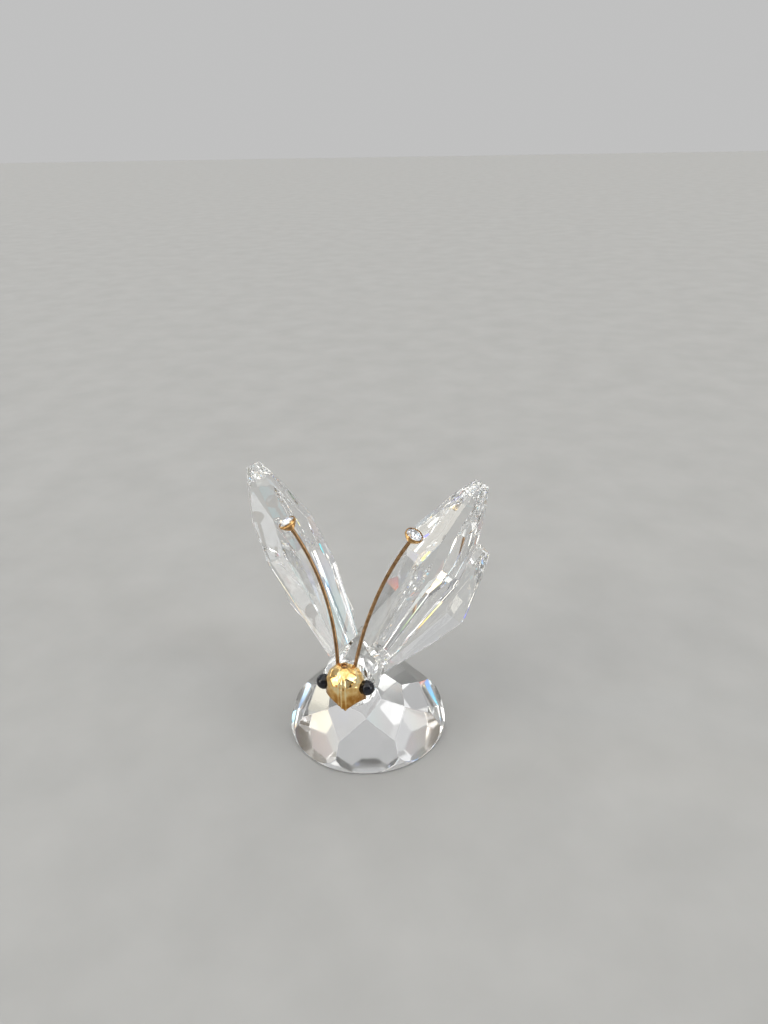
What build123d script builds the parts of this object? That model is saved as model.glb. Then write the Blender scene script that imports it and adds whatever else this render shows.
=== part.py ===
import os
from math import acos, atan2, cos, degrees, radians, sin, tan

from build123d import *

# Cut-crystal butterfly on a faceted dome, in millimetres and degrees.
# Origin: centre of the dome's flat underside. +Z up, the head looks to -Y.

# Crystal base: a round blank cut by rows of flat facets, with a flat table on top
base_diameter = 30.0
base_height = 11.7
base_rim_bevel = 0.35
base_rim_band = 1.3         # round edge left under the middle of each rim facet
base_facets_per_row = 8
base_turn = 15.0            # turn of the cut about Z against the body
cut_centre_depth = 2.4      # centre of the facet sphere, below the underside
cut_radius = 14.1           # from that centre to the facets of the three upper rows
rim_row_tilt = 77.0         # tilt of each facet row's normal from the vertical
lower_row_tilt = 58.0
upper_row_tilt = 41.0
crown_row_tilt = 27.0

# Cured clear adhesive between the crystals
film_thickness = 0.15

# Crystal body: a round drop lying along Y, with tapering side facets
body_radius = 4.9
body_half_height = 4.75     # from the drop's axis to its flat underside
body_front = -11.0          # Y of the flat front face that carries the head
body_length = 18.0
body_front_bevel = 0.7
body_girdle = 1.2           # round band left behind the front bevel
body_taper = 8.5
body_facets = 8
underside_facet = 6         # the facet that lies flat on the base
straight_facets = (5, 6, 7)  # facets without taper, round the seat on the base
tail_length = 4.5
tail_tilt = 38.0

# Forewings, seated on the body's upper side facets
forewing_facet_angle = 45.0
forewing_station = 6.8      # seat, measured back from the body's front face
forewing_span = 36.3
forewing_spread = 29.1      # outward lean from the vertical
forewing_lean = 13.8        # backward lean from the vertical
forewing_turn = 101.0       # turn of the broad face about the span
forewing_thickness = 6.8
forewing_front_width = 5.8
forewing_rear_width = 5.8
forewing_root_width = 4.2
forewing_rear_corners = [(0.52, 1.0), (0.75, 0.84), (0.93, 0.42)]  # shares of span and width, root to tip
forewing_front_corners = [(0.89, 0.52), (0.66, 0.98), (0.4, 1.0)]  # tip to root

# Hindwings, seated on the body's side facets behind the forewings
hindwing_facet_angle = 0.0
hindwing_station = 12.3
hindwing_span = 26.1
hindwing_spread = 43.8
hindwing_lean = 28.6
hindwing_turn = 88.0
hindwing_thickness = 6.2
hindwing_front_width = 5.3
hindwing_rear_width = 7.2
hindwing_root_width = 5.2
hindwing_rear_corners = [(0.28, 0.86), (0.52, 1.0), (0.86, 0.46)]
hindwing_front_corners = [(0.94, 0.42), (0.74, 0.94), (0.4, 1.0)]

# Cut of all wings
wing_tip_width = 2.4        # blunt end of the outline
wing_girdle = 0.5           # flat edge left between the two cut faces
wing_bevel_slope = 60.0     # slope of the steep edge facets against the wing's plane
wing_star_slope = 41.0      # slope of the kite facets over the outline's corners
wing_star_rise = 0.38       # where a kite facet meets its ridge, share of the bevel's height
wing_main_slope = 31.0      # slope of the long facets that run up from the outline
wing_main_lift = 0.9        # height of the long facets' planes over the outline's girdle
wing_belly = 0.58           # thickest place, share of the span
wing_belly_lift = 0.35      # peak of the four broad facets above the small table they leave
wing_keel_slope = 11.0      # fall of the broad facets to both sides
wing_tip_slope = 4.5        # fall of the broad facets from the belly to the tip
wing_root_slope = 4.5       # fall of the broad facets from the belly to the root
root_overlength = 8.0       # blank left beyond the seat, ground off along the body's facet

# Gold head cap: a bell with a scalloped rim, open at the back against the body
head_radius = 3.25
head_wall = 0.4
head_forward = 1.4          # from the body's front face to the bell's axis
head_rise = 2.1             # bell's centre above the body's axis
head_rim_radius = 3.5
head_rim_drop = 3.4         # from the bell's centre down to the points of the rim
scallop_depth = 1.15
scallop_count = 4
cap_turn = 14.0             # turn of the rim's points about the bell's axis
plug_recess = 1.5           # filling ends this far above the points of the rim
plug_top_gap = 0.2          # from the ends of the wires down to the filling

# Tube in the crown of the cap
tube_diameter = 1.1
tube_bore = 0.7
tube_stand = 0.3            # above the cap's top
tube_depth = 1.0            # below the cap's top

# Black bead eyes with flat backs, glued on flats that are milled into the sides of the cap
eye_diameter = 2.6
eye_spacing = 7.7
eye_flat = 0.75             # from the bead's centre in to its flat back
eye_drop = 0.65             # below the bell's centre

# Antennae: bent wires from the crown of the cap to the stone cups
wire_diameter = 0.65
wire_root_spacing = 2.8
wire_root_back = 0.6        # behind the bell's axis
wire_root_rise = 1.5        # above the bell's centre, inside the crown
cup_spacing = 20.6
cup_back = 6.7              # wire's end behind the bell's axis
cup_rise = 25.2             # wire's end above the bell's centre
wire_bow_inward = 1.6       # bow of the wire's middle against a straight line
wire_bow_back = 1.2
head_bed_share = 0.12       # shares of the wire that lie in straight holes in cap and cup
cup_bed_share = 0.04
wire_end_play = 0.002       # share of the wire's length left free at the bottom of each hole

# Stone cups
cup_direction = (0.467, -0.11, 0.875)
cup_diameter = 3.1
cup_neck_diameter = 1.1
cup_neck_depth = 0.35       # from the wire's end down to the cup's foot
cup_floor = 0.15            # metal between the wire's end and the stone's bed
cup_flare_height = 0.55     # above the wire's end
cup_height = 1.2            # rim above the wire's end
cup_wall = 0.2

# Stones
stone_girdle_height = 0.95  # above the wire's end
stone_girdle_band = 0.12
stone_crown_height = 0.5
stone_crown_slope = 36.0
stone_bed_gap = 0.1         # between the stone's underside and its bed
stone_facets = 8

# Play between a piece and its bed
fit_clearance = 0.04

os.makedirs("parts", exist_ok=True)


def write_piece(piece, name):
    piece.label = name
    export_step(piece, f"parts/{name}.step")


def write_pair(right_piece, name):
    with BuildPart() as left:
        mirror(right_piece, about=Plane.YZ)
    write_piece(right_piece, f"{name}_right")
    write_piece(left.part, f"{name}_left")


# Crystal base
def base_facet(tilt, azimuth, reach):
    normal = Vector(sin(radians(tilt)) * cos(radians(azimuth)),
                    sin(radians(tilt)) * sin(radians(azimuth)),
                    cos(radians(tilt)))
    return Plane(origin=Vector(0, 0, -cut_centre_depth) + normal * reach, z_dir=normal)


rim_reach = (base_diameter / 2 * sin(radians(rim_row_tilt))
             + (base_rim_band + cut_centre_depth) * cos(radians(rim_row_tilt)))
facet_step = 360 / base_facets_per_row
front_azimuth = -90 + base_turn
base_rows = [
    (rim_row_tilt, rim_reach, 0.5),
    (lower_row_tilt, cut_radius, 0),
    (upper_row_tilt, cut_radius, 0.5),
    (crown_row_tilt, cut_radius, 0),
]

with BuildPart() as base:
    with BuildSketch():
        Circle(base_diameter / 2)
    extrude(amount=base_height)
    chamfer(base.edges().group_by(Axis.Z)[0], base_rim_bevel)
    for row_tilt, row_reach, row_shift in base_rows:
        for index in range(base_facets_per_row):
            azimuth = front_azimuth + (index + row_shift) * facet_step
            split(bisect_by=base_facet(row_tilt, azimuth, row_reach), keep=Keep.BOTTOM)
write_piece(base.part, "base")


# Crystal body
body_axis_height = base_height + film_thickness + body_half_height
body_plane = Plane(origin=(0, body_front, body_axis_height), x_dir=(1, 0, 0), z_dir=(0, 1, 0))
body_foot = Plane(origin=(0, 0, base_height + film_thickness))  # wings are ground off here too
girdle_end = body_front_bevel + body_girdle


def body_facet(angle, station, tilt, lift=0.0):
    outward = Vector(cos(radians(angle)), 0, sin(radians(angle)))
    normal = outward * cos(radians(tilt)) + Vector(0, 1, 0) * sin(radians(tilt))
    apothem = body_half_height - (station - girdle_end) * tan(radians(body_taper))
    seat = Vector(0, body_front + station, body_axis_height) + outward * apothem
    return Plane(origin=seat + normal * lift, z_dir=normal)


with BuildPart() as body:
    with BuildSketch(body_plane):
        Circle(body_radius)
    extrude(amount=body_length)
    chamfer(body.edges().group_by(Axis.Y)[0], body_front_bevel)
    for index in range(body_facets):
        facet_angle = index * 360 / body_facets
        side_tilt = 0 if index in straight_facets else body_taper
        split(bisect_by=body_facet(facet_angle, girdle_end, side_tilt), keep=Keep.BOTTOM)
        if index != underside_facet:
            tail_facet = body_facet(facet_angle, body_length - tail_length, tail_tilt)
            split(bisect_by=tail_facet, keep=Keep.BOTTOM)
write_piece(body.part, "body")

with BuildPart() as base_bond:
    extrude(body.faces().sort_by(Axis.Z)[0], amount=film_thickness)
    extrude(base.faces().sort_by(Axis.Z)[-1], amount=film_thickness, mode=Mode.INTERSECT)
write_piece(base_bond.part, "base_bond")


# Wings: a flat blank with the wing's outline, ground to facets on both faces
def wing_plane(seat, spread, lean, turn):
    span_dir = Vector(tan(radians(spread)), tan(radians(lean)), 1).normalized()
    back_dir = (Vector(0, 1, 0) - span_dir * span_dir.Y).normalized()
    side_dir = back_dir.cross(span_dir)
    face_dir = side_dir * cos(radians(turn)) - back_dir * sin(radians(turn))
    return Plane(origin=seat.origin, x_dir=span_dir, z_dir=face_dir)


def wing_outline(span, root_width, front_width, rear_width, front_corners, rear_corners):
    rear = [Vector(along * span, across * -rear_width) for along, across in rear_corners]
    front = [Vector(along * span, across * front_width) for along, across in front_corners]
    root_rear = Vector(-root_overlength, -root_width / 2)
    root_front = Vector(-root_overlength, root_width / 2)
    tip = [Vector(span, -wing_tip_width / 2), Vector(span, wing_tip_width / 2)]
    return [root_rear, *rear, *tip, *front, root_front]


def edge_facet(start, end, slope, lift=0.0):
    outward = Vector(end.Y - start.Y, start.X - end.X).normalized()
    normal = outward * sin(radians(slope)) + Vector(0, 0, cos(radians(slope)))
    return Plane(origin=start + Vector(0, 0, wing_girdle / 2 + lift), z_dir=normal)


def star_facet(before, corner, after, thickness):
    edge = (after - corner).normalized()
    inward = ((before - corner).normalized() + edge).normalized()
    rise = (thickness - wing_girdle) / 2 * wing_star_rise
    run = rise / (tan(radians(wing_bevel_slope)) * abs(inward.cross(edge).Z))
    normal = Vector(0, 0, cos(radians(wing_star_slope))) - inward * sin(radians(wing_star_slope))
    ridge_point = corner + inward * run + Vector(0, 0, wing_girdle / 2 + rise)
    return Plane(origin=ridge_point, z_dir=normal)


def broad_facets(span, thickness):
    peak = Vector(wing_belly * span, 0, thickness / 2 + wing_belly_lift)
    for side in (-1, 1):
        for along in (tan(radians(wing_tip_slope)), -tan(radians(wing_root_slope))):
            yield Plane(origin=peak, z_dir=(along, side * tan(radians(wing_keel_slope)), 1))


def cut_wing(plane, seat, outline, span, thickness):
    back_face = Plane(plane * Plane(origin=(0, 0, 0), x_dir=(1, 0, 0), z_dir=(0, 0, -1)))
    back_outline = [Vector(point.X, -point.Y) for point in reversed(outline)]
    with BuildPart() as wing:
        with BuildSketch(plane):
            with BuildLine():
                Polyline(*outline, close=True)
            make_face()
        extrude(amount=thickness / 2, both=True)
        for face_plane, points in ((plane, outline), (back_face, back_outline)):
            for start, end in zip(points, points[1:]):
                bevel = edge_facet(start, end, wing_bevel_slope)
                main = edge_facet(start, end, wing_main_slope, wing_main_lift)
                split(bisect_by=Plane(face_plane * bevel), keep=Keep.BOTTOM)
                split(bisect_by=Plane(face_plane * main), keep=Keep.BOTTOM)
            for before, corner, after in zip(points, points[1:], points[2:]):
                facet = star_facet(before, corner, after, thickness)
                split(bisect_by=Plane(face_plane * facet), keep=Keep.BOTTOM)
            for facet in broad_facets(span, thickness):
                split(bisect_by=Plane(face_plane * facet), keep=Keep.BOTTOM)
        split(bisect_by=seat, keep=Keep.TOP)
        split(bisect_by=body_foot, keep=Keep.TOP)
    return wing.part


def root_bond(wing, seat):
    inward = seat.z_dir * -1
    root_face = wing.faces().sort_by(lambda face: face.normal_at().dot(inward))[-1]
    body_face = body.faces().sort_by(lambda face: face.normal_at().dot(seat.z_dir))[-1]
    with BuildPart() as film:
        extrude(root_face, amount=film_thickness, dir=inward)
        extrude(body_face, amount=film_thickness, dir=seat.z_dir, mode=Mode.INTERSECT)
    return film.part


forewing_seat = body_facet(forewing_facet_angle, forewing_station, body_taper, film_thickness)
forewing_plane = wing_plane(forewing_seat, forewing_spread, forewing_lean, forewing_turn)
forewing_outline = wing_outline(forewing_span, forewing_root_width, forewing_front_width,
                                forewing_rear_width, forewing_front_corners, forewing_rear_corners)
forewing = cut_wing(forewing_plane, forewing_seat, forewing_outline, forewing_span, forewing_thickness)
write_pair(forewing, "forewing")
write_pair(root_bond(forewing, forewing_seat), "forewing_bond")

hindwing_seat = body_facet(hindwing_facet_angle, hindwing_station, body_taper, film_thickness)
hindwing_plane = wing_plane(hindwing_seat, hindwing_spread, hindwing_lean, hindwing_turn)
hindwing_outline = wing_outline(hindwing_span, hindwing_root_width, hindwing_front_width,
                                hindwing_rear_width, hindwing_front_corners, hindwing_rear_corners)
hindwing = cut_wing(hindwing_plane, hindwing_seat, hindwing_outline, hindwing_span, hindwing_thickness)
write_pair(hindwing, "hindwing")
write_pair(root_bond(hindwing, hindwing_seat), "hindwing_bond")


# Head
head_centre = Vector(0, body_front - head_forward, body_axis_height + head_rise)
head_plane = Plane(origin=head_centre, x_dir=(1, 0, 0), z_dir=(0, -1, 0))
head_axis = Axis(head_centre, (0, 0, 1))
body_face = Plane(origin=(0, body_front, 0), z_dir=(0, 1, 0))
cap_back = body_face.offset(-film_thickness)
crown_height = head_centre.Z + head_radius
eye_centre = Vector(eye_spacing / 2, head_centre.Y, head_centre.Z - eye_drop)
eye_back = Plane(origin=eye_centre - Vector(eye_flat, 0, 0), z_dir=(1, 0, 0))
wire_start = head_centre + Vector(wire_root_spacing / 2, wire_root_back, wire_root_rise)
wire_end = head_centre + Vector(cup_spacing / 2, cup_back, cup_rise)
wire_middle = (wire_start + wire_end) / 2 + Vector(-wire_bow_inward, wire_bow_back, 0)

with BuildLine() as wire_path:
    ThreePointArc(wire_start, wire_middle, wire_end)


def wire_bed(start_share, end_share):
    start = wire_path.line @ start_share
    reach = wire_path.line @ end_share - start
    with BuildPart() as bed:
        with BuildSketch(Plane(origin=start, z_dir=reach)):
            Circle(wire_diameter / 2 + fit_clearance)
        extrude(amount=reach.length)
    return bed.part


def both_sides(right_piece, mode):
    add(right_piece, mode=mode)
    mirror(right_piece, about=Plane.YZ, mode=mode)


with BuildPart() as eye:
    with BuildSketch(Plane(origin=eye_centre, x_dir=(1, 0, 0), z_dir=(0, -1, 0))):
        with BuildLine():
            dome = CenterArc((0, 0), eye_diameter / 2, 0, degrees(acos(-eye_flat / (eye_diameter / 2))))
            Polyline(dome @ 1, (-eye_flat, 0), dome @ 0)
        make_face()
    revolve(axis=Axis(eye_centre, (1, 0, 0)))
with BuildPart() as eye_spot:
    with BuildSketch(eye_back.offset(-fit_clearance)):
        Circle(eye_diameter / 2 + fit_clearance)
    extrude(amount=eye_diameter)
write_pair(eye.part, "eye")

with BuildPart() as antenna:
    with BuildSketch(Plane(origin=wire_path.line @ 0, z_dir=wire_path.line % 0)):
        Circle(wire_diameter / 2)
    sweep(path=wire_path.line)
head_wire_bed = wire_bed(-wire_end_play, head_bed_share)
cup_wire_bed = wire_bed(1 - cup_bed_share, 1 + wire_end_play)
write_pair(antenna.part, "antenna")

with BuildPart() as crown_tube:
    with BuildSketch(Plane(origin=(0, head_centre.Y, crown_height - tube_depth))):
        Circle(tube_diameter / 2)
        Circle(tube_bore / 2, mode=Mode.SUBTRACT)
    extrude(amount=tube_depth + tube_stand)
write_piece(crown_tube.part, "crown_tube")

with BuildPart() as tube_bed:
    with BuildSketch(Plane(origin=(0, head_centre.Y, crown_height - tube_depth))):
        Circle(tube_diameter / 2 + fit_clearance)
    extrude(amount=tube_depth + tube_stand)


def bell(shrink):
    radius = head_radius - shrink
    rim_radius = head_rim_radius - shrink
    with BuildPart() as solid:
        with BuildSketch(head_plane):
            with BuildLine():
                CenterArc((0, 0), radius, 0, 90)
                Polyline((0, radius), (0, -head_rim_drop), (rim_radius, -head_rim_drop), (radius, 0))
            make_face()
        revolve(axis=head_axis)
    return solid.part


scallop_half = head_rim_radius * sin(radians(180 / scallop_count))
scallop_radius = (scallop_half ** 2 + scallop_depth ** 2) / (2 * scallop_depth)
rim_centre = head_centre - Vector(0, 0, head_rim_drop)

with BuildPart() as head_cap:
    add(bell(0))
    add(bell(head_wall), mode=Mode.SUBTRACT)
    for index in range(scallop_count):
        angle = radians(-90 + cap_turn + (index + 0.5) * 360 / scallop_count)
        radial = Vector(cos(angle), sin(angle), 0)
        tangent = Vector(-sin(angle), cos(angle), 0)
        with BuildSketch(Plane(origin=rim_centre, x_dir=tangent, z_dir=radial)):
            with Locations((0, scallop_depth - scallop_radius)):
                Circle(scallop_radius)
        extrude(amount=2 * head_rim_radius, mode=Mode.SUBTRACT)
    split(bisect_by=cap_back, keep=Keep.BOTTOM)
    both_sides(eye_spot.part, Mode.SUBTRACT)
    both_sides(head_wire_bed, Mode.SUBTRACT)
    add(tube_bed.part, mode=Mode.SUBTRACT)
write_piece(head_cap.part, "head_cap")

with BuildPart() as head_plug:
    add(bell(head_wall + fit_clearance))
    split(bisect_by=Plane(origin=rim_centre).offset(plug_recess), keep=Keep.TOP)
    split(bisect_by=Plane(origin=head_centre).offset(wire_root_rise - plug_top_gap), keep=Keep.BOTTOM)
    split(bisect_by=body_face, keep=Keep.BOTTOM)
write_piece(head_plug.part, "head_plug")


# Stone cup and stone at the wire's end
cup_plane = Plane(origin=wire_end, z_dir=cup_direction)
cup_radius = cup_diameter / 2
stone_radius = cup_radius - cup_wall - fit_clearance
bed_radius = cup_radius - cup_wall

with BuildPart() as cup:
    with BuildSketch(Plane(cup_plane * Plane.XZ)):
        with BuildLine():
            Polyline(
                (0, -cup_neck_depth),
                (cup_neck_diameter / 2, -cup_neck_depth),
                (cup_radius, cup_flare_height),
                (cup_radius, cup_height),
                (bed_radius, cup_height),
                (bed_radius, stone_girdle_height),
                (0, cup_floor),
                close=True,
            )
        make_face()
    revolve(axis=Axis(cup_plane.origin, cup_plane.z_dir))
    add(cup_wire_bed, mode=Mode.SUBTRACT)
write_pair(cup.part, "cup")


def stone_facet(azimuth, slope, height):
    outward = Vector(cos(radians(azimuth)), sin(radians(azimuth)), 0)
    normal = outward * sin(radians(abs(slope))) + Vector(0, 0, 1 if slope > 0 else -1) * cos(radians(slope))
    return Plane(cup_plane * Plane(origin=outward * stone_radius + Vector(0, 0, height), z_dir=normal))


stone_foot = cup_floor + stone_bed_gap
pavilion_slope = degrees(atan2(stone_girdle_height - cup_floor, bed_radius))
with BuildPart() as stone:
    with BuildSketch(cup_plane.offset(stone_foot)):
        Circle(stone_radius)
    extrude(amount=stone_girdle_height + stone_girdle_band + stone_crown_height - stone_foot)
    for index in range(stone_facets):
        azimuth = index * 360 / stone_facets
        crown = stone_facet(azimuth, stone_crown_slope, stone_girdle_height + stone_girdle_band)
        pavilion = stone_facet(azimuth, -pavilion_slope, stone_girdle_height + stone_bed_gap)
        split(bisect_by=crown, keep=Keep.BOTTOM)
        split(bisect_by=pavilion, keep=Keep.BOTTOM)
write_pair(stone.part, "stone")
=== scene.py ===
import math

import bmesh
import bpy
import numpy as np
from mathutils import Matrix


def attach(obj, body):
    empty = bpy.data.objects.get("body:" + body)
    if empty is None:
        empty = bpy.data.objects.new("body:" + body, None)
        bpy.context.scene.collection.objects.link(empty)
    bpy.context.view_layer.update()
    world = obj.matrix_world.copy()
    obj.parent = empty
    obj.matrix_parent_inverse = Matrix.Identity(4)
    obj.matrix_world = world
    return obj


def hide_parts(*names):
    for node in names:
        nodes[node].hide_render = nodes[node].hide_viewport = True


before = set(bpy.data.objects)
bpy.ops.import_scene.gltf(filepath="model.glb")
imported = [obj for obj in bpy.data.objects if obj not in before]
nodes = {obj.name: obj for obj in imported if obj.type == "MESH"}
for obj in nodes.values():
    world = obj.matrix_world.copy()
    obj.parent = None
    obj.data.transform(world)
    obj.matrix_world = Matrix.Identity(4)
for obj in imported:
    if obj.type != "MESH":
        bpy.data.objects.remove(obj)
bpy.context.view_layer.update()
scene = bpy.context.scene
mm = 0.001
print("frame loaded:", len(nodes), "nodes")


# helpers for meshes

def linkPiece(name, mesh, material, nodeName):
    piece = bpy.data.objects.new(name, mesh)
    scene.collection.objects.link(piece)
    mesh.materials.clear()
    mesh.materials.append(material)
    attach(piece, "root")
    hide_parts(nodeName)
    return piece


def gridMesh(name, grid, keep=None, marks=None):
    # grid is rows x columns x 3 in mm; columns close on themselves, rows run from start to end
    rows, columns = grid.shape[:2]
    index = np.arange(rows * columns).reshape(rows, columns)
    nextColumn = np.roll(index, -1, axis=1)
    quads = np.stack([index[:-1], nextColumn[:-1], nextColumn[1:], index[1:]], axis=-1)
    faces = quads.reshape(-1, 4) if keep is None else quads[keep]
    mesh = bpy.data.meshes.new(name)
    mesh.from_pydata(grid.reshape(-1, 3).tolist(), [], faces.tolist())
    for mark, values in (marks or {}).items():
        mesh.attributes.new(mark, "FLOAT", "POINT").data.foreach_set("value", values.ravel())
    cleanMesh(mesh)
    return mesh


def cleanMesh(mesh, weld=1e-5):
    # works in mm: merges doubles, drops loose points, turns faces outwards, then scales to metres
    work = bmesh.new()
    work.from_mesh(mesh)
    bmesh.ops.remove_doubles(work, verts=work.verts, dist=weld)
    loose = [vert for vert in work.verts if not vert.link_faces]
    bmesh.ops.delete(work, geom=loose, context="VERTS")
    bmesh.ops.recalc_face_normals(work, faces=work.faces)
    bmesh.ops.scale(work, vec=(mm, mm, mm), verts=work.verts)
    work.to_mesh(mesh)
    work.free()
    mesh.shade_smooth()


def axisFrame(direction):
    # unit direction and two unit vectors square to it
    along = np.array(direction, float) / np.linalg.norm(direction)
    helper = np.array([0.0, 1.0, 0.0]) if abs(along[1]) < 0.9 else np.array([1.0, 0.0, 0.0])
    first = np.cross(helper, along)
    first /= np.linalg.norm(first)
    return along, first, np.cross(along, first)


def turned(profile, origin, direction, columns):
    # a profile of (radius, height) pairs carried once round an axis
    along, first, second = axisFrame(direction)
    angle = np.linspace(0, 2 * np.pi, columns, endpoint=False)
    ring = np.cos(angle)[:, None] * first + np.sin(angle)[:, None] * second
    radius, height = np.array(profile, float).T
    return np.array(origin) + height[:, None, None] * along + radius[:, None, None] * ring


def smoothProfile(corners, step):
    # points of a smooth line through the corners, by a Catmull-Rom curve
    points = np.array(corners, float)
    padded = np.vstack([2 * points[0] - points[1], points, 2 * points[-1] - points[-2]])
    share = np.linspace(0, 1, step, endpoint=False)[None, :, None]
    a, b, c, d = (padded[k:len(padded) - 3 + k, None, :] for k in range(4))
    line = 0.5 * (2 * b + (c - a) * share + (2 * a - 5 * b + 4 * c - d) * share ** 2
                  + (3 * b - a - 3 * c + d) * share ** 3)
    return np.vstack([line.reshape(-1, 2), points[-1:]])


def addPair(name, nodeName, grid, material, sharp):
    # the right-hand piece and its mirrored twin, whose columns are reversed
    twin = (grid * np.array([-1.0, 1.0, 1.0]))[:, ::-1]
    for side, points in (("right", grid), ("left", twin)):
        piece = linkPiece(name + side.capitalize(), gridMesh(name, points), material,
                          nodeName + "_" + side)
        piece.data.set_sharp_from_angle(angle=math.radians(sharp))


# helpers for materials

def newMaterial(name):
    material = bpy.data.materials.new(name)
    material.use_nodes = True
    tree = material.node_tree
    shader = tree.nodes["Principled BSDF"]
    place = tree.nodes.new("ShaderNodeTexCoord")
    return material, tree, shader, place


def noiseOf(tree, place, scale, detail=3.0, distortion=0.0):
    noise = tree.nodes.new("ShaderNodeTexNoise")
    noise.inputs["Scale"].default_value = scale
    noise.inputs["Detail"].default_value = detail
    noise.inputs["Distortion"].default_value = distortion
    tree.links.new(place.outputs["Object"], noise.inputs["Vector"])
    return noise.outputs["Fac"]


def rampTo(tree, source, socket, tones, reach):
    # one tone at each position of reach; a plain number stands for a grey
    ramp = tree.nodes.new("ShaderNodeValToRGB")
    stops = ramp.color_ramp.elements
    stops[0].position = reach[0]
    stops[1].position = reach[-1]
    for position in reach[1:-1]:
        stops.new(position)
    for stop, tone in zip(stops, tones):
        colour = tone if isinstance(tone, tuple) else (tone,) * 3
        stop.color = (*colour, 1.0)
    tree.links.new(source, ramp.inputs["Fac"])
    tree.links.new(ramp.outputs["Color"], socket)


def mapRange(tree, source, start, end, low=0.0, high=1.0):
    # start to end becomes low to high, and values past either end stay there
    step = tree.nodes.new("ShaderNodeMapRange")
    for socket, value in (("From Min", start), ("From Max", end), ("To Min", low), ("To Max", high)):
        step.inputs[socket].default_value = value
    tree.links.new(source, step.inputs["Value"])
    return step.outputs["Result"]


def bumpFrom(tree, source, shader, strength, distance):
    bump = tree.nodes.new("ShaderNodeBump")
    bump.inputs["Strength"].default_value = strength
    bump.inputs["Distance"].default_value = distance
    tree.links.new(source, bump.inputs["Height"])
    tree.links.new(bump.outputs["Normal"], shader.inputs["Normal"])


crystalLook = dict(ior=1.56, wingIor=1.75, tint=((0.975, 0.985, 0.99), (0.995, 0.995, 0.99)),
                   smudge=(0.0, 0.03), scale=160)


def makeCrystal(name, ior):
    material, tree, shader, place = newMaterial(name)
    shader.inputs["Transmission Weight"].default_value = 1.0
    shader.inputs["IOR"].default_value = ior
    cloud = noiseOf(tree, place, crystalLook["scale"])
    rampTo(tree, cloud, shader.inputs["Base Color"], crystalLook["tint"], (0.35, 0.65))
    smear = noiseOf(tree, place, crystalLook["scale"] * 1.7, distortion=0.8)
    rampTo(tree, smear, shader.inputs["Roughness"], crystalLook["smudge"], (0.6, 0.8))
    return material


# tones run deep, pale, palest; on the head cap the palest is a painted highlight, reached along the pleats
# and on the upper half, and on the wires and cups it shows only where the random tone runs high; for the head
# cap, the span gives the heights in mm between which the plate goes from painted shade below (deeper gold) to
# painted highlight above (paler gold), and the step says how far the tone moves
goldLook = dict(tones=((0.5, 0.23, 0.05), (0.92, 0.6, 0.23), (1.0, 0.86, 0.5)), polish=(0.05, 0.13),
                grain=900, dents=0.07, paintedLightSpan=(17.2, 19.0), lift=0.16, pleatHighlightGain=2.2)
# the wires' and crown tube's gold: a darker copy of the cap's gold, as painted shade for the darker
# reflections they show
wireLook = dict(tones=((0.26, 0.14, 0.06), (0.46, 0.28, 0.14), (0.75, 0.5, 0.28)), polish=(0.08, 0.17),
                grain=1400, dents=0.03)
cupLook = dict(tones=((0.3, 0.15, 0.05), (0.8, 0.5, 0.21), (1.0, 0.8, 0.48)), polish=(0.03, 0.09),
               grain=1100, dents=0.05)


def paintLightIntoTone(tree, place, tone, look):
    # painted highlight: the raised pleats are made paler; then painted shade and painted highlight by height:
    # the plate is deeper below and paler above
    split = tree.nodes.new("ShaderNodeSeparateXYZ")
    tree.links.new(place.outputs["Object"], split.inputs["Vector"])
    # painted shade below the span and painted highlight above it, by height in the cap
    low, high = look["paintedLightSpan"]
    height = mapRange(tree, split.outputs["Z"], low * mm, high * mm, -look["lift"], look["lift"])
    # the pleat mark from the mesh, scaled into a painted highlight
    pleatHighlight = tree.nodes.new("ShaderNodeAttribute")
    pleatHighlight.attribute_name = "pleatHighlight"
    highlightedTone = tree.nodes.new("ShaderNodeMath")
    highlightedTone.operation = "MULTIPLY_ADD"
    highlightedTone.inputs[1].default_value = look["pleatHighlightGain"]
    tree.links.new(pleatHighlight.outputs["Fac"], highlightedTone.inputs[0])
    tree.links.new(tone, highlightedTone.inputs[2])
    paintedTone = tree.nodes.new("ShaderNodeMath")
    tree.links.new(highlightedTone.outputs["Value"], paintedTone.inputs[0])
    tree.links.new(height, paintedTone.inputs[1])
    return paintedTone.outputs["Value"]


def makeGold(name, look):
    material, tree, shader, place = newMaterial(name)
    shader.inputs["Metallic"].default_value = 1.0
    tone = noiseOf(tree, place, look["grain"])
    # the head cap's tone gets painted highlights and painted shade
    if "paintedLightSpan" in look:
        tone = paintLightIntoTone(tree, place, tone, look)
    rampTo(tree, tone, shader.inputs["Base Color"], look["tones"], (0.3, 0.62, 0.86))
    wear = noiseOf(tree, place, look["grain"] * 2.3, detail=5.0)
    rampTo(tree, wear, shader.inputs["Roughness"], look["polish"], (0.35, 0.7))
    dents = noiseOf(tree, place, look["grain"] * 0.7, detail=2.0)
    bumpFrom(tree, dents, shader, strength=0.25, distance=look["dents"] * mm)
    return material


beadLook = dict(ior=1.5, tones=((0.002, 0.0025, 0.005), (0.006, 0.007, 0.014)), polish=(0.06, 0.12),
                scale=1500)


def makeBead():
    material, tree, shader, place = newMaterial("blackBead")
    shader.inputs["IOR"].default_value = beadLook["ior"]
    cloud = noiseOf(tree, place, beadLook["scale"])
    rampTo(tree, cloud, shader.inputs["Base Color"], beadLook["tones"], (0.4, 0.65))
    rampTo(tree, cloud, shader.inputs["Roughness"], beadLook["polish"], (0.4, 0.7))
    return material


filmLook = dict(ior=1.48, tint=((0.93, 0.93, 0.89), (0.98, 0.98, 0.96)), haze=(0.02, 0.3), scale=1100)


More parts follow.
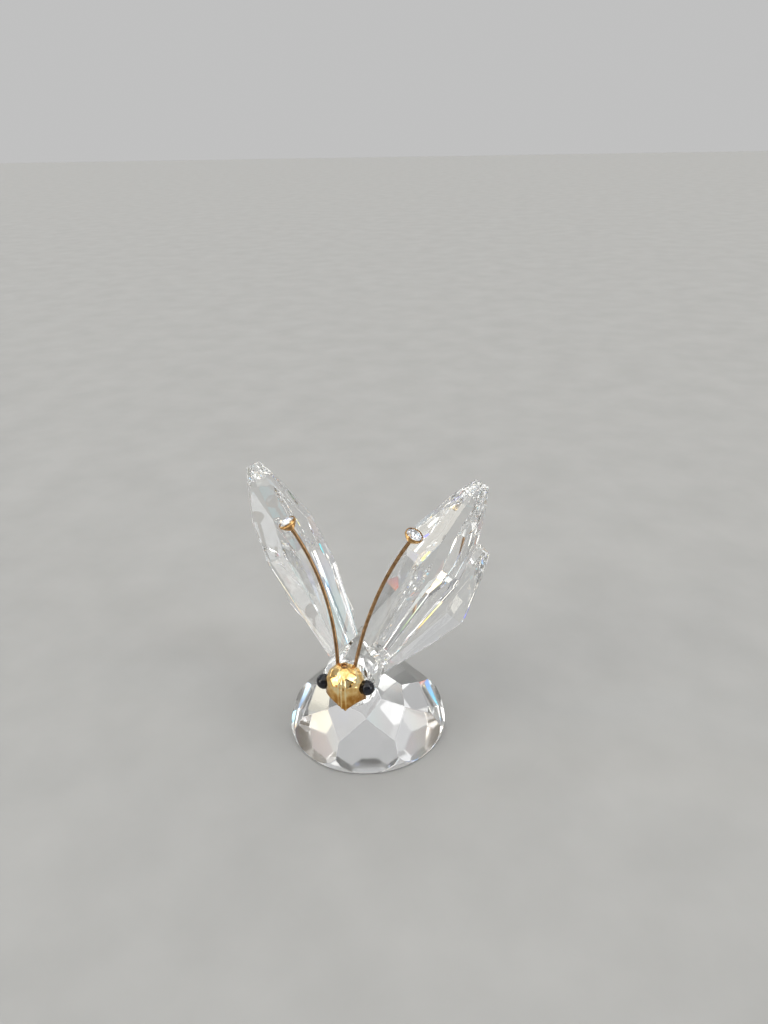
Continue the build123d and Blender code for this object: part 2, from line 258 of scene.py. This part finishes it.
def makeFilm():
    material, tree, shader, place = newMaterial("clearAdhesive")
    shader.inputs["Transmission Weight"].default_value = 1.0
    shader.inputs["IOR"].default_value = filmLook["ior"]
    cloud = noiseOf(tree, place, filmLook["scale"])
    rampTo(tree, cloud, shader.inputs["Base Color"], filmLook["tint"], (0.35, 0.65))
    rampTo(tree, cloud, shader.inputs["Roughness"], filmLook["haze"], (0.5, 0.75))
    return material


fillingLook = dict(tones=((0.2, 0.12, 0.04), (0.36, 0.24, 0.09)), polish=(0.3, 0.5), dents=0.05, scale=700)


def makeFilling():
    material, tree, shader, place = newMaterial("castFilling")
    cloud = noiseOf(tree, place, fillingLook["scale"])
    rampTo(tree, cloud, shader.inputs["Base Color"], fillingLook["tones"], (0.35, 0.65))
    rampTo(tree, cloud, shader.inputs["Roughness"], fillingLook["polish"], (0.3, 0.7))
    bumpFrom(tree, cloud, shader, strength=0.3, distance=fillingLook["dents"] * mm)
    return material


groundLook = dict(tint=((0.94, 0.94, 0.93), (0.97, 0.97, 0.965)), rough=(0.03, 0.09), scale=70)


def makeGround():
    material, tree, shader, place = newMaterial("groundCrystal")
    shader.inputs["Transmission Weight"].default_value = 1.0
    shader.inputs["IOR"].default_value = crystalLook["ior"]
    cloud = noiseOf(tree, place, groundLook["scale"], detail=2.0)
    rampTo(tree, cloud, shader.inputs["Base Color"], groundLook["tint"], (0.3, 0.7))
    rampTo(tree, cloud, shader.inputs["Roughness"], groundLook["rough"], (0.3, 0.7))
    return material


foilLook = dict(tones=((0.8, 0.83, 0.88), (0.93, 0.94, 0.95)), polish=(0.03, 0.1), scale=2500)


def makeFoil():
    material, tree, shader, place = newMaterial("stoneFoil")
    shader.inputs["Metallic"].default_value = 1.0
    cloud = noiseOf(tree, place, foilLook["scale"])
    rampTo(tree, cloud, shader.inputs["Base Color"], foilLook["tones"], (0.35, 0.65))
    rampTo(tree, cloud, shader.inputs["Roughness"], foilLook["polish"], (0.3, 0.7))
    return material


crystal = makeCrystal("cutCrystal", crystalLook["ior"])
wingCrystal = makeCrystal("wingCrystal", crystalLook["wingIor"])
# the head cap's gold carries painted highlights and painted shade in its colour
gold = makeGold("goldPlate", goldLook)
# darker gold for the wires and the crown tube, which is painted shade
shadedWireGold = makeGold("wireGoldShaded", wireLook)
cupGold = makeGold("goldCup", cupLook)
bead = makeBead()
film = makeFilm()
filling = makeFilling()
foil = makeFoil()
ground = makeGround()
print("materials made")


# crystals: the cut solids with their facet edges finely polished over
# bevel in mm; edges over the cut angle are bevelled, edges over the sharp angle are shaded hard

wingCut = dict(bevel=0.06, sharp=3.0, cut=4.0)
stoneCut = dict(bevel=0.015, sharp=8.0, cut=14.0)
crystalSet = {
    "base": dict(bevel=0.07, sharp=5.0, cut=7.0),
    "body": dict(bevel=0.06, sharp=9.0, cut=12.0),
    "forewing_left": wingCut,
    "forewing_right": wingCut,
    "hindwing_left": wingCut,
    "hindwing_right": wingCut,
    "stone_left": stoneCut,
    "stone_right": stoneCut,
}

# long facets ground between the main ones of the wings
# tilt from the face and bearings from the tip in degrees, depth in mm
wingSet = dict(forewing=dict(spread=29.1, lean=13.8, turn=101.0),
               hindwing=dict(spread=43.8, lean=28.6, turn=88.0),
               rows=[dict(tilt=24.0, bearings=(78, -78, 102, -102), depth=0.55),
                     dict(tilt=30.0, bearings=(40, -40), depth=0.5)],
               weld=0.02)


def wingAxes(nodeName):
    # span, face and across directions of a wing, mirrored for the left side
    wing = wingSet[nodeName.split("_")[0]]
    span = np.array([math.tan(math.radians(wing["spread"])), math.tan(math.radians(wing["lean"])), 1.0])
    span /= np.linalg.norm(span)
    back = np.array([0.0, 1.0, 0.0]) - span * span[1]
    back /= np.linalg.norm(back)
    turn = math.radians(wing["turn"])
    face = np.cross(back, span) * math.cos(turn) - back * math.sin(turn)
    flip = np.array([-1.0 if nodeName.endswith("left") else 1.0, 1.0, 1.0])
    return span * flip, face * flip, np.cross(face, span) * flip


def grindFacet(work, normal, depth):
    # a plane moved in from the point that reaches farthest along its normal cuts that point off
    points = np.array([vert.co for vert in work.verts])
    place = points[(points @ normal).argmax()] - normal * depth
    parts = work.verts[:] + work.edges[:] + work.faces[:]
    cut = bmesh.ops.bisect_plane(work, geom=parts, dist=1e-5, plane_co=place, plane_no=normal,
                                 clear_outer=True)["geom_cut"]
    bmesh.ops.holes_fill(work, edges=[part for part in cut if isinstance(part, bmesh.types.BMEdge)])


def grindWing(work, nodeName):
    span, face, across = wingAxes(nodeName)
    for row in wingSet["rows"]:
        tilt = math.radians(row["tilt"])
        for bearing in np.radians(row["bearings"]):
            outward = span * math.cos(bearing) + across * math.sin(bearing)
            for side in (1, -1):
                grindFacet(work, face * side * math.cos(tilt) + outward * math.sin(tilt), row["depth"])
    bmesh.ops.remove_doubles(work, verts=work.verts, dist=wingSet["weld"])
    bmesh.ops.recalc_face_normals(work, faces=work.faces)


def crystalMesh(nodeName, bevel, sharp, cut, weld=1e-4, flat=0.2):
    # merged copy of the cut solid; flat regions join up, edges over the cut angle get a narrow bevel
    mesh = nodes[nodeName].data.copy()
    mesh.materials.clear()
    work = bmesh.new()
    work.from_mesh(mesh)
    bmesh.ops.scale(work, vec=(1 / mm,) * 3, verts=work.verts)
    bmesh.ops.remove_doubles(work, verts=work.verts, dist=weld)
    bmesh.ops.dissolve_limit(work, angle_limit=math.radians(flat), verts=work.verts, edges=work.edges)
    if "wing" in nodeName:
        grindWing(work, nodeName)
    edges = [e for e in work.edges if e.is_manifold and e.calc_face_angle() > math.radians(cut)]
    bmesh.ops.bevel(work, geom=edges, offset=bevel, segments=1, profile=0.5, affect="EDGES",
                    clamp_overlap=True)
    bmesh.ops.scale(work, vec=(mm,) * 3, verts=work.verts)
    work.to_mesh(mesh)
    work.free()
    mesh.shade_smooth()
    mesh.set_sharp_from_angle(angle=math.radians(sharp))
    return mesh


for nodeName, settings in crystalSet.items():
    linkPiece("cut_" + nodeName, crystalMesh(nodeName, **settings),
              wingCrystal if "wing" in nodeName else crystal,
              nodeName)
print("crystals bevelled")


# adhesive films: the bonds drawn back a hair from the crystals they join, in mm

filmSet = dict(shrink=0.004)


def filmMesh(nodeName, weld=1e-7):
    mesh = nodes[nodeName].data.copy()
    mesh.materials.clear()
    work = bmesh.new()
    work.from_mesh(mesh)
    bmesh.ops.remove_doubles(work, verts=work.verts, dist=weld)
    bmesh.ops.recalc_face_normals(work, faces=work.faces)
    work.to_mesh(mesh)
    work.free()
    points = np.empty(len(mesh.vertices) * 3)
    normals = np.empty_like(points)
    mesh.vertices.foreach_get("co", points)
    mesh.vertices.foreach_get("normal", normals)
    mesh.vertices.foreach_set("co", points - normals * filmSet["shrink"] * mm)
    mesh.update()
    return mesh


for nodeName in [name for name in nodes if "bond" in name]:
    linkPiece("film_" + nodeName, filmMesh(nodeName), film, nodeName)
print("films placed")


# head: a gold cap, open at the back
# sizes in mm, angles from the front in degrees; starts, ends and fades as shares of the way down

headSet = dict(centre=(0.0, -12.4, 18.7), radius=3.25, rimRadius=3.5, rimDrop=3.4, wall=0.32, backCut=-11.15,
               points=(-106.0, 14.0, 94.0), scallops=(1.95, 1.05),
               pleats=((-4.0, 0.1), (4.5, 0.2), (17.0, 0.16)), pleatWidth=2.3, pleatStart=0.3, pleatFade=0.4,
               lump=0.2, lumpEnd=1.15, lumpMost=0.6)


def rimRise(front):
    # each scallop is a circular arc between two points of the rim; elsewhere the rim stays down
    rise = np.zeros_like(front)
    for first, last, depth in zip(headSet["points"], headSet["points"][1:], headSet["scallops"]):
        middle, half = math.radians(first + last) / 2, math.radians(last - first) / 2
        reach = headSet["rimRadius"] * math.sin(half)
        arc = (reach ** 2 + depth ** 2) / (2 * depth)
        offset = headSet["rimRadius"] * np.sin(np.clip(front - middle, -half, half))
        rise = np.maximum(rise, depth - arc + np.sqrt(arc ** 2 - offset ** 2))
    return rise


def headGrid(rows=110, columns=288):
    # a half sphere that runs on as a cone; the cone's lower edge rises between the points of the rim,
    # narrow bell-shaped pleats run down the front, and crossed waves dent the half sphere
    angle = np.linspace(0, 2 * np.pi, columns, endpoint=False)[None, :]
    share = np.linspace(0, 2, rows)[:, None]
    polar = np.clip(share, 0, 1) * np.pi / 2
    front = (angle + np.pi / 2 + np.pi) % (2 * np.pi) - np.pi
    drop = np.clip(share - 1, 0, 1) * (headSet["rimDrop"] - rimRise(front))
    flare = (headSet["rimRadius"] - headSet["radius"]) * drop / headSet["rimDrop"]
    height = headSet["radius"] * np.cos(polar) - drop
    ridge = sum(size * np.exp(-((np.degrees(front) - place) / headSet["pleatWidth"]) ** 2)
                for place, size in headSet["pleats"])
    ridge = ridge * np.clip((share - headSet["pleatStart"]) / headSet["pleatFade"], 0, 1)
    waves = (np.sin(3.1 * angle + 2.3 * height) * np.sin(2.7 * height + 5 * angle)
             + 0.6 * np.sin(7 * angle - 3.7 * height))
    dented = np.sin(polar) * np.clip(headSet["lumpEnd"] - share, 0, headSet["lumpMost"])
    radius = headSet["radius"] * np.sin(polar) + flare + ridge + headSet["lump"] * waves * dented
    x, y, z = headSet["centre"]
    points = np.stack([x + radius * np.cos(angle), y + radius * np.sin(angle), z + height + 0 * angle], -1)
    points[..., 1] = np.minimum(points[..., 1], headSet["backCut"])
    return points, ridge


def addHead():
    # faces that lie wholly in the plane of the back are left out, and the pleats' heights are kept as the
    # mark for a painted highlight along them
    grid, ridge = headGrid()
    clamped = grid[..., 1] >= headSet["backCut"] - 1e-6
    ahead = np.roll(clamped, -1, axis=1)
    keep = ~(clamped[:-1] & clamped[1:] & ahead[:-1] & ahead[1:])
    # the pleats' heights go on the mesh as the mark for their painted highlight
    mesh = gridMesh("headCap", grid, keep, dict(pleatHighlight=ridge))
    piece = linkPiece("headCap", mesh, gold, "head_cap")
    wall = piece.modifiers.new("wall", "SOLIDIFY")
    wall.thickness = headSet["wall"] * mm
    wall.offset = -1.0


addHead()
nodes["head_plug"].data.materials.clear()
nodes["head_plug"].data.materials.append(filling)
print("head made")


# crown tube, with a rounded lip; heights from the top of the cap

tubeSet = dict(outer=0.55, bore=0.35, low=-1.0, high=0.3, lip=0.06, columns=48, sharp=50.0)


def addTube():
    # a closed wall profile turned once round the vertical
    outer, bore, lip = tubeSet["outer"], tubeSet["bore"], tubeSet["lip"]
    low, high = tubeSet["low"], tubeSet["high"]
    corners = [(bore, low), (bore, high - lip), (bore + lip, high), (outer - lip, high),
               (outer, high - lip), (outer, low), (bore, low)]
    x, y, z = headSet["centre"]
    grid = turned(corners, (x, y, z + headSet["radius"]), (0, 0, 1), tubeSet["columns"])
    piece = linkPiece("crownTube", gridMesh("crownTube", grid), shadedWireGold, "crown_tube")
    piece.data.set_sharp_from_angle(angle=math.radians(tubeSet["sharp"]))


addTube()


# eyes: domed beads with a flat back

eyeSet = dict(radius=1.3, spacing=7.7, drop=0.65, flat=0.75, rows=40, columns=72, sharp=40.0)


def addEyes():
    # a circle's arc, from the front to where the flat back cuts it, turned round the X direction
    polar = np.linspace(0, math.acos(-eyeSet["flat"] / eyeSet["radius"]), eyeSet["rows"])
    dome = np.stack([np.sin(polar), np.cos(polar)], -1) * eyeSet["radius"]
    profile = np.vstack([dome, [(0.0, -eyeSet["flat"])]])
    x, y, z = headSet["centre"]
    grid = turned(profile, (eyeSet["spacing"] / 2, y, z - eyeSet["drop"]), (1, 0, 0), eyeSet["columns"])
    addPair("eye", "eye", grid, bead, eyeSet["sharp"])


addEyes()


# antennae: round wire bent to an arc; places from the head's centre

wireSet = dict(radius=0.325, root=(1.4, 0.6, 1.5), end=(10.3, 6.7, 25.2), bow=(-1.6, 1.2, 0.0),
               rows=90, columns=20, sharp=50.0)


def arcThrough(first, middle, last, count):
    # points of the circle through three points, from the first to the last
    u, v = middle - first, last - first
    normal = np.cross(u, v)
    centre = first + (np.cross(normal, u) * (v @ v) + np.cross(v, normal) * (u @ u)) / (2 * normal @ normal)
    spoke = first - centre
    side = np.cross(normal / np.linalg.norm(normal), spoke)
    sweep = math.atan2((last - centre) @ side, (last - centre) @ spoke) % (2 * np.pi)
    angle = np.linspace(0, sweep, count)[:, None]
    return centre + spoke * np.cos(angle) + side * np.sin(angle), normal / np.linalg.norm(normal)


def wireGrid():
    # a ring of points carried along the arc, square to it
    centre = np.array(headSet["centre"])
    root = centre + np.array(wireSet["root"])
    end = centre + np.array(wireSet["end"])
    middle = (root + end) / 2 + np.array(wireSet["bow"])
    path, binormal = arcThrough(root, middle, end, wireSet["rows"])
    tangent = np.gradient(path, axis=0)
    tangent /= np.linalg.norm(tangent, axis=1, keepdims=True)
    normal = np.cross(binormal, tangent)
    angle = np.linspace(0, 2 * np.pi, wireSet["columns"], endpoint=False)
    ring = np.cos(angle)[None, :, None] * normal[:, None] + np.sin(angle)[None, :, None] * binormal
    tube = path[:, None] + wireSet["radius"] * ring
    ends = [np.repeat(path[k][None, None], wireSet["columns"], axis=1) for k in (0, -1)]
    return np.concatenate([ends[0], tube, ends[1]])


addPair("wire", "antenna", wireGrid(), shadedWireGold, wireSet["sharp"])


# stone cups: ribbed cones with a rolled rim, as (radius, height) pairs from the wire's end

cupSet = dict(direction=(0.467, -0.11, 0.875),
              outside=[(0.34, -0.62), (0.42, -0.52), (0.46, -0.4), (0.66, -0.3), (0.64, -0.18), (0.78, -0.1),
                       (0.96, 0.0), (0.92, 0.12), (1.08, 0.22), (1.26, 0.32), (1.22, 0.44), (1.36, 0.54),
                       (1.52, 0.68), (1.55, 0.84), (1.46, 0.95), (1.55, 1.06), (1.5, 1.18)],
              inside=[(1.39, 1.2), (1.35, 1.1), (1.35, 0.95), (0.0, 0.15)],
              steps=4, columns=64, sharp=35.0)


def addCups():
    # the smooth outside line and the straight inside line, turned round the cup's direction
    profile = np.vstack([smoothProfile(cupSet["outside"], cupSet["steps"]), cupSet["inside"]])
    end = np.array(headSet["centre"]) + np.array(wireSet["end"])
    grid = turned(profile, end, cupSet["direction"], cupSet["columns"])
    addPair("cup", "cup", grid, cupGold, cupSet["sharp"])


addCups()
print("eyes, wires and cups made")


# undersides: the stones are foiled, the base is finely ground

def finishUnderside(pieceName, material, up, limit):
    # faces that look down against the given up direction get the second material
    mesh = bpy.data.objects[pieceName].data
    mesh.materials.append(material)
    normals = np.empty(len(mesh.polygons) * 3)
    mesh.polygons.foreach_get("normal", normals)
    down = normals.reshape(-1, 3) @ (np.array(up) / np.linalg.norm(up)) < -limit
    mesh.polygons.foreach_set("material_index", down.astype(np.int32))


cupX, cupY, cupZ = cupSet["direction"]
finishUnderside("cut_stone_right", foil, (cupX, cupY, cupZ), limit=0.1)
finishUnderside("cut_stone_left", foil, (-cupX, cupY, cupZ), limit=0.1)
finishUnderside("cut_base", ground, (0, 0, 1), limit=0.9)
print("undersides finished")


# floor, light and camera

floorSet = dict(half=2500.0, sink=0.02, tones=((0.41, 0.41, 0.405), (0.45, 0.45, 0.445)), rough=0.7, scale=60)


def addFloor():
    # a level square far larger than the object
    half, level = floorSet["half"] * mm, -floorSet["sink"] * mm
    corners = [(-half, -half, level), (half, -half, level), (half, half, level), (-half, half, level)]
    mesh = bpy.data.meshes.new("floor")
    mesh.from_pydata(corners, [], [(0, 1, 2, 3)])
    material, tree, shader, place = newMaterial("paleFloor")
    cloud = noiseOf(tree, place, floorSet["scale"], detail=6.0)
    rampTo(tree, cloud, shader.inputs["Base Color"], floorSet["tones"], (0.3, 0.7))
    shader.inputs["Roughness"].default_value = floorSet["rough"]
    mesh.materials.append(material)
    floor = bpy.data.objects.new("floor", mesh)
    scene.collection.objects.link(floor)


addFloor()

# sky: a grey that turns paler from the front to the back, by the Y of its direction, with round soft boxes,
# one dark card for contrast on the gold, and small sparks that stand in for the fire of cut crystal;
# azimuth runs from +Y to +X in degrees, and rim is how far red and blue stand to either side of green
worldSet = dict(frontTone=0.32, backTone=0.53, turnsFrom=-0.2, turnsTo=0.5, softEdge=2.5)
boxes = dict(
    left=dict(azimuth=-125, elevation=17, radius=14, rim=-0.4, level=(2.9, 2.75, 2.4)),
    right=dict(azimuth=100, elevation=14, radius=14, rim=0.5, level=(2.4, 2.45, 2.5)),
    rightHigh=dict(azimuth=104, elevation=45, radius=11, rim=1.5, level=(2.3, 2.25, 2.15)),
    leftHigh=dict(azimuth=-138, elevation=42, radius=12, rim=1.2, level=(2.0, 1.95, 1.85)),
    leftBack=dict(azimuth=-62, elevation=8, radius=10, rim=0.3, level=(1.5, 1.5, 1.4)),
    backRight=dict(azimuth=25, elevation=36, radius=9, rim=0.3, level=(0.5, 0.45, 0.3)),
    backLeft=dict(azimuth=-40, elevation=40, radius=8, rim=0.0, level=(0.38, 0.38, 0.38)),
    top=dict(azimuth=180, elevation=86, radius=36, rim=0.6, level=(1.1, 1.1, 1.06)),
    darkCard=dict(azimuth=132, elevation=19, radius=11, rim=0.0, level=(-0.27, -0.27, -0.27)),
    sparkLeft=dict(azimuth=-148, elevation=8, radius=5, rim=3.5, level=(1.1, 1.05, 1.2)),
    sparkHigh=dict(azimuth=-95, elevation=36, radius=5, rim=3.5, level=(2.0, 1.9, 2.2)),
    sparkRight=dict(azimuth=72, elevation=26, radius=5, rim=3.5, level=(1.0, 0.95, 1.1)),
    sparkLow=dict(azimuth=140, elevation=4, radius=5, rim=3.5, level=(1.0, 0.95, 1.1)),
)


def addBox(tree, direction, total, azimuth, elevation, radius, rim, level):
    # a soft-edged disc of sky per colour, set side by side; its light is added to the total
    disc = tree.nodes.new("ShaderNodeCombineXYZ")
    rise = math.radians(elevation)
    inner, outer = math.cos(math.radians(radius)), math.cos(math.radians(radius + worldSet["softEdge"]))
    for colour, step in enumerate((-1, 0, 1)):
        bearing = math.radians(azimuth + step * rim)
        toward = tree.nodes.new("ShaderNodeVectorMath")
        toward.operation = "DOT_PRODUCT"
        toward.inputs[1].default_value = (math.sin(bearing) * math.cos(rise),
                                          math.cos(bearing) * math.cos(rise), math.sin(rise))
        tree.links.new(direction, toward.inputs[0])
        tree.links.new(mapRange(tree, toward.outputs["Value"], outer, inner), disc.inputs[colour])
    glow = tree.nodes.new("ShaderNodeVectorMath")
    glow.operation = "MULTIPLY_ADD"
    glow.inputs[0].default_value = level
    tree.links.new(disc.outputs["Vector"], glow.inputs[1])
    tree.links.new(total, glow.inputs[2])
    return glow.outputs["Vector"]


def addLight():
    world = bpy.data.worlds.new("studio")
    scene.world = world
    world.use_nodes = True
    tree = world.node_tree
    direction = tree.nodes.new("ShaderNodeTexCoord").outputs["Generated"]
    split = tree.nodes.new("ShaderNodeSeparateXYZ")
    tree.links.new(direction, split.inputs["Vector"])
    plain = mapRange(tree, split.outputs["Y"], worldSet["turnsFrom"], worldSet["turnsTo"],
                     worldSet["frontTone"], worldSet["backTone"])
    total = plain
    for box in boxes.values():
        total = addBox(tree, direction, total, **box)
    ray = tree.nodes.new("ShaderNodeLightPath")  # like lamps, the boxes themselves are hidden from the camera
    seen = tree.nodes.new("ShaderNodeMixRGB")
    tree.links.new(ray.outputs["Is Camera Ray"], seen.inputs["Fac"])
    tree.links.new(total, seen.inputs["Color1"])
    tree.links.new(plain, seen.inputs["Color2"])
    tree.links.new(seen.outputs["Color"], tree.nodes["Background"].inputs["Color"])


addLight()

# place in mm, angles in degrees, focal length in pixels of an image 1024 high
cameraSet = dict(place=(34.15, -110.70, 103.70), pitch=26.97, heading=15.08, roll=-1.57,
                 focalPixels=769.0, imageHeight=1024.0, sensor=36.0, clip=(2.0, 20000.0))


def addCamera():
    data = bpy.data.cameras.new("camera")
    data.sensor_width = cameraSet["sensor"]
    data.lens = cameraSet["focalPixels"] / cameraSet["imageHeight"] * cameraSet["sensor"]
    data.clip_start, data.clip_end = [distance * mm for distance in cameraSet["clip"]]
    camera = bpy.data.objects.new("camera", data)
    heading = Matrix.Rotation(math.radians(cameraSet["heading"]), 4, "Z")
    tilt = Matrix.Rotation(math.radians(90 - cameraSet["pitch"]), 4, "X")
    roll = Matrix.Rotation(math.radians(cameraSet["roll"]), 4, "Z")
    place = Matrix.Translation([value * mm for value in cameraSet["place"]])
    camera.matrix_world = place @ heading @ tilt @ roll
    scene.collection.objects.link(camera)
    scene.camera = camera


addCamera()
scene.view_settings.view_transform = "Standard"
scene.cycles.max_bounces = 96  # light runs a long way inside cut crystal
scene.cycles.transmission_bounces = 96
scene.cycles.glossy_bounces = 32
print("floor, light and camera placed")
